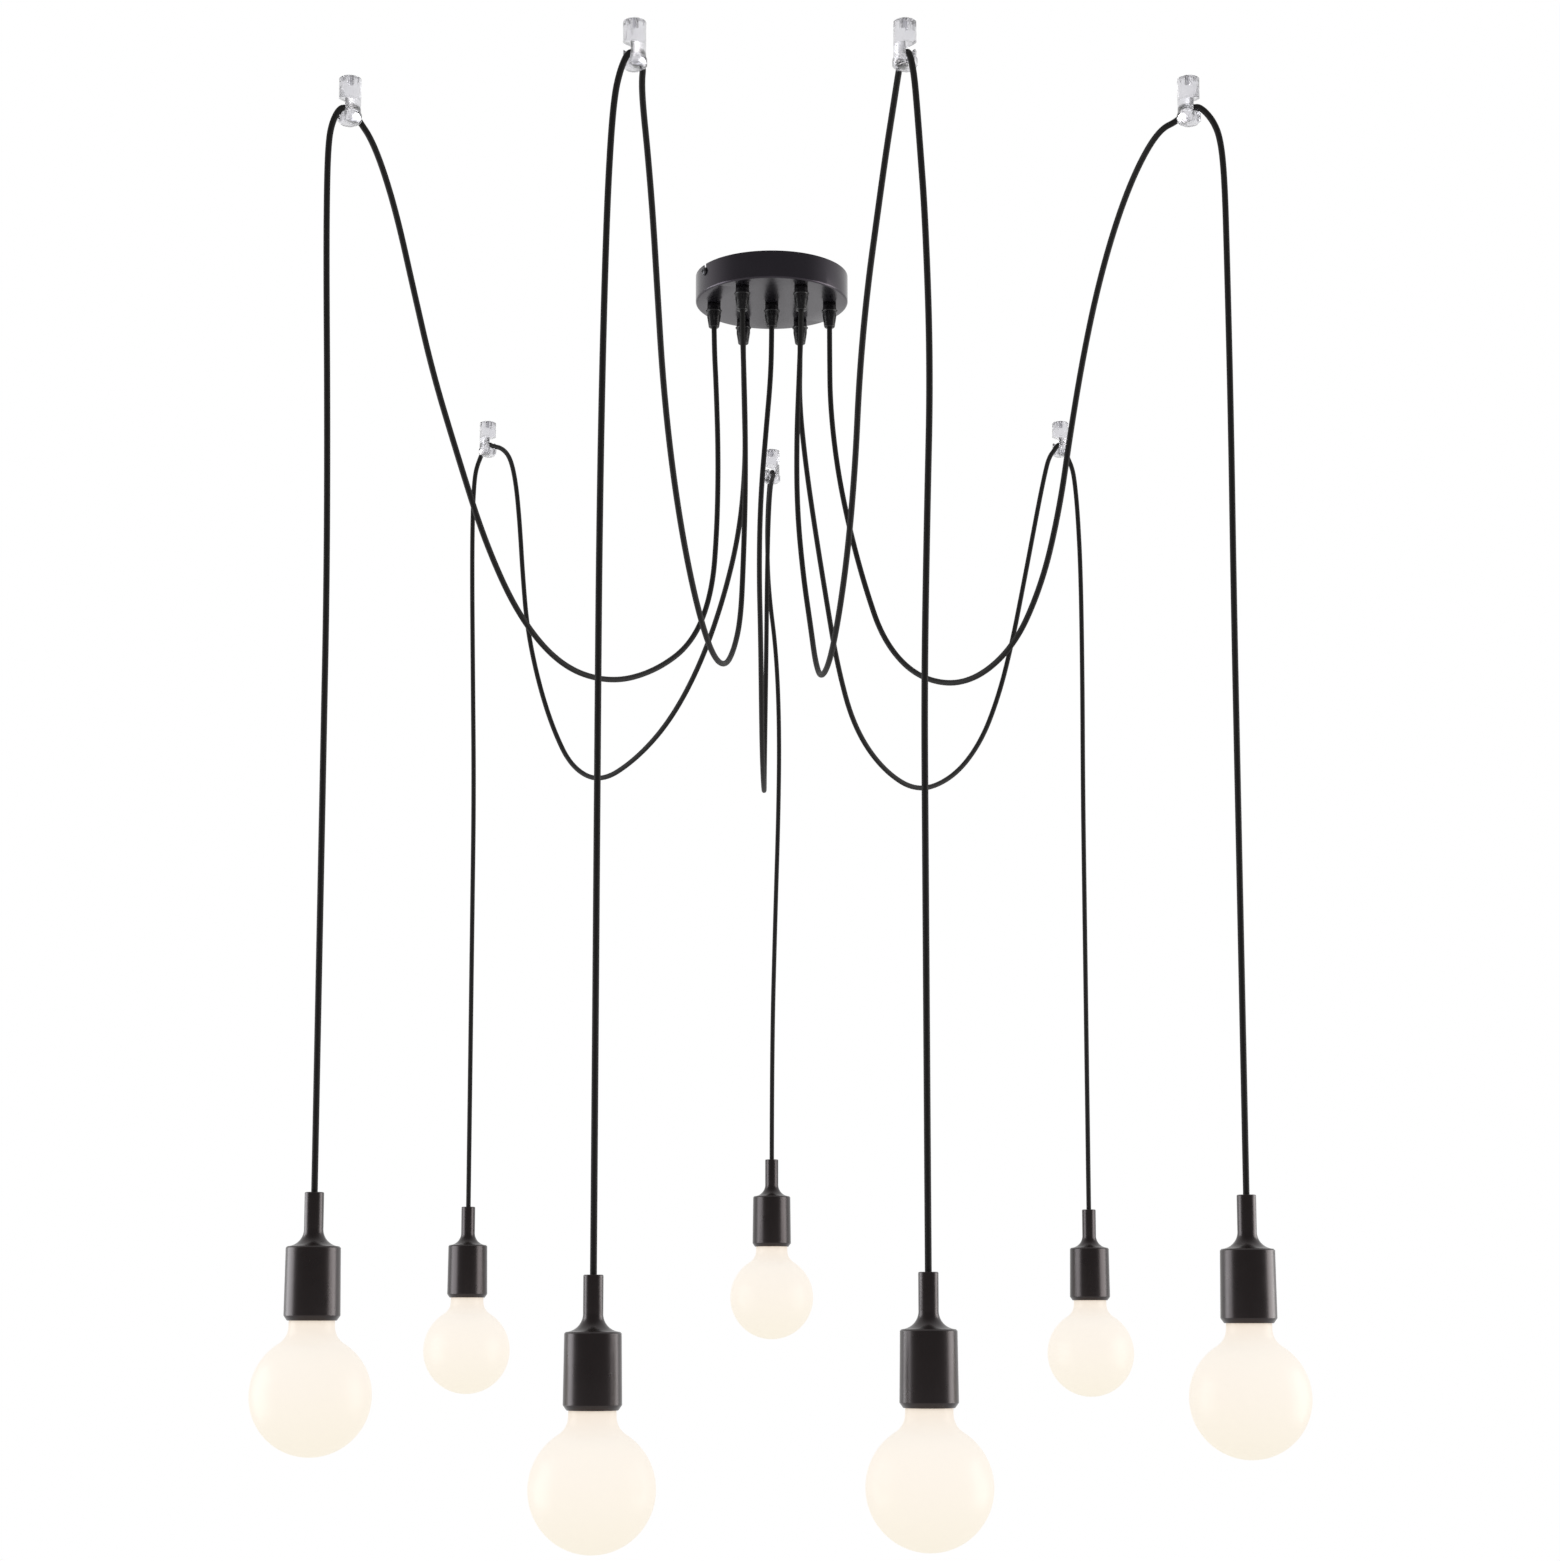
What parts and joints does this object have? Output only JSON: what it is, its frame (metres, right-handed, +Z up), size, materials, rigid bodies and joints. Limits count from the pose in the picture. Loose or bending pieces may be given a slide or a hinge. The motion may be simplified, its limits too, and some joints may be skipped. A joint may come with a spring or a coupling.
{
  "type": "cluster pendant",
  "caption": "Ceiling pendant cluster: a round canopy sends textile cords in sagging loops over clear ceiling hooks, each dropping to a silicone holder with an opal globe bulb.",
  "frame": {"origin": "centre of the canopy's rim, in the ceiling plane", "axes": "+Z up into the ceiling, +X to the right and +Y away from the viewer as the picture looks at it"},
  "size_m": [0.8267, 1.289, 1.1935],
  "materials": {
    "canopy_black": "satin powder coat",
    "zinc_steel": "zinc plated",
    "dark_screw": "black oxide",
    "brass": "plain",
    "strip_plastic": "moulded",
    "core_insulation": "extruded",
    "gland_black": "moulded",
    "hook_clear": "clear",
    "cord_textile": "braided",
    "sleeve_silicone": "matt silicone",
    "socket_dark": "moulded",
    "bulb_opal": "opal",
    "cap_metal": "satin"
  },
  "bodies": {
    "ceiling_set": {"canopy": "canopy_black", "ceiling_bracket": "zinc_steel", "side_screws": "dark_screw", "earth_screw": "brass", "terminal_strip": "strip_plastic", "terminal_inserts": "brass", "terminal_screws": "zinc_steel", "core_wires": "core_insulation", "gland_bodies": "gland_black", "gland_caps": "gland_black", "gland_nuts": "gland_black", "ceiling_hook_outer_left": "hook_clear", "ceiling_hook_front_left": "hook_clear", "ceiling_hook_front_right": "hook_clear", "ceiling_hook_outer_right": "hook_clear", "ceiling_hook_back_left": "hook_clear", "ceiling_hook_back_right": "hook_clear", "ceiling_hook_back_centre": "hook_clear", "cord_loop_outer_left": "cord_textile", "cord_loop_front_left": "cord_textile", "cord_loop_front_right": "cord_textile", "cord_loop_outer_right": "cord_textile", "cord_loop_back_left": "cord_textile", "cord_loop_back_right": "cord_textile", "cord_loop_back_centre": "cord_textile"},
    "pendant_outer_left": {"cord_drop_outer_left": "cord_textile", "holder_sleeve_outer_left": "sleeve_silicone", "lamp_socket_outer_left": "socket_dark"},
    "bulb_outer_left": {"bulb_globe_outer_left": "bulb_opal", "bulb_cap_outer_left": "cap_metal"},
    "pendant_front_left": {"cord_drop_front_left": "cord_textile", "holder_sleeve_front_left": "sleeve_silicone", "lamp_socket_front_left": "socket_dark"},
    "bulb_front_left": {"bulb_globe_front_left": "bulb_opal", "bulb_cap_front_left": "cap_metal"},
    "pendant_front_right": {"cord_drop_front_right": "cord_textile", "holder_sleeve_front_right": "sleeve_silicone", "lamp_socket_front_right": "socket_dark"},
    "bulb_front_right": {"bulb_globe_front_right": "bulb_opal", "bulb_cap_front_right": "cap_metal"},
    "pendant_outer_right": {"cord_drop_outer_right": "cord_textile", "holder_sleeve_outer_right": "sleeve_silicone", "lamp_socket_outer_right": "socket_dark"},
    "bulb_outer_right": {"bulb_globe_outer_right": "bulb_opal", "bulb_cap_outer_right": "cap_metal"},
    "pendant_back_left": {"cord_drop_back_left": "cord_textile", "holder_sleeve_back_left": "sleeve_silicone", "lamp_socket_back_left": "socket_dark"},
    "bulb_back_left": {"bulb_globe_back_left": "bulb_opal", "bulb_cap_back_left": "cap_metal"},
    "pendant_back_right": {"cord_drop_back_right": "cord_textile", "holder_sleeve_back_right": "sleeve_silicone", "lamp_socket_back_right": "socket_dark"},
    "bulb_back_right": {"bulb_globe_back_right": "bulb_opal", "bulb_cap_back_right": "cap_metal"},
    "pendant_back_centre": {"cord_drop_back_centre": "cord_textile", "holder_sleeve_back_centre": "sleeve_silicone", "lamp_socket_back_centre": "socket_dark"},
    "bulb_back_centre": {"bulb_globe_back_centre": "bulb_opal", "bulb_cap_back_centre": "cap_metal"}
  },
  "joints": [
    {"name": "swing_outer_left", "type": "hinge", "parent": "ceiling_set", "child": "pendant_outer_left", "pos_m": [-0.359, -0.481, -0.0375], "axis": [0.8014, -0.5981, 0], "range_deg": [-15, 15], "deforming": ["cord_drop_outer_left"]},
    {"name": "unscrew_outer_left", "type": "slide", "parent": "pendant_outer_left", "child": "bulb_outer_left", "axis": [0, 0, -1], "range_m": [0, 0.03]},
    {"name": "swing_front_left", "type": "hinge", "parent": "ceiling_set", "child": "pendant_front_left", "pos_m": [-0.133, -0.588, -0.0401], "axis": [0.9754, -0.2206, 0], "range_deg": [-15, 15], "deforming": ["cord_drop_front_left"]},
    {"name": "unscrew_front_left", "type": "slide", "parent": "pendant_front_left", "child": "bulb_front_left", "axis": [0, 0, -1], "range_m": [0, 0.03]},
    {"name": "swing_front_right", "type": "hinge", "parent": "ceiling_set", "child": "pendant_front_right", "pos_m": [0.1165, -0.594, -0.0408], "axis": [0.9813, 0.1925, 0], "range_deg": [-15, 15], "deforming": ["cord_drop_front_right"]},
    {"name": "unscrew_front_right", "type": "slide", "parent": "pendant_front_right", "child": "bulb_front_right", "axis": [0, 0, -1], "range_m": [0, 0.03]},
    {"name": "swing_outer_right", "type": "hinge", "parent": "ceiling_set", "child": "pendant_outer_right", "pos_m": [0.3727, -0.48, -0.0354], "axis": [0.7899, 0.6133, 0], "range_deg": [-15, 15], "deforming": ["cord_drop_outer_right"]},
    {"name": "unscrew_outer_right", "type": "slide", "parent": "pendant_outer_right", "child": "bulb_outer_right", "axis": [0, 0, -1], "range_m": [0, 0.03]},
    {"name": "swing_back_left", "type": "hinge", "parent": "ceiling_set", "child": "pendant_back_left", "pos_m": [-0.337, 0.479, -0.04135], "axis": [-0.8179, -0.5754, 0], "range_deg": [-15, 15], "deforming": ["cord_drop_back_left"]},
    {"name": "unscrew_back_left", "type": "slide", "parent": "pendant_back_left", "child": "bulb_back_left", "axis": [0, 0, -1], "range_m": [0, 0.03]},
    {"name": "swing_back_right", "type": "hinge", "parent": "ceiling_set", "child": "pendant_back_right", "pos_m": [0.3522, 0.479, -0.0411], "axis": [-0.8057, 0.5924, 0], "range_deg": [-15, 15], "deforming": ["cord_drop_back_right"]},
    {"name": "unscrew_back_right", "type": "slide", "parent": "pendant_back_right", "child": "bulb_back_right", "axis": [0, 0, -1], "range_m": [0, 0.03]},
    {"name": "swing_back_centre", "type": "hinge", "parent": "ceiling_set", "child": "pendant_back_centre", "pos_m": [0, 0.6, -0.0408], "axis": [-1, 0, 0], "range_deg": [-15, 15], "deforming": ["cord_drop_back_centre"]},
    {"name": "unscrew_back_centre", "type": "slide", "parent": "pendant_back_centre", "child": "bulb_back_centre", "axis": [0, 0, -1], "range_m": [0, 0.03]}
  ]
}
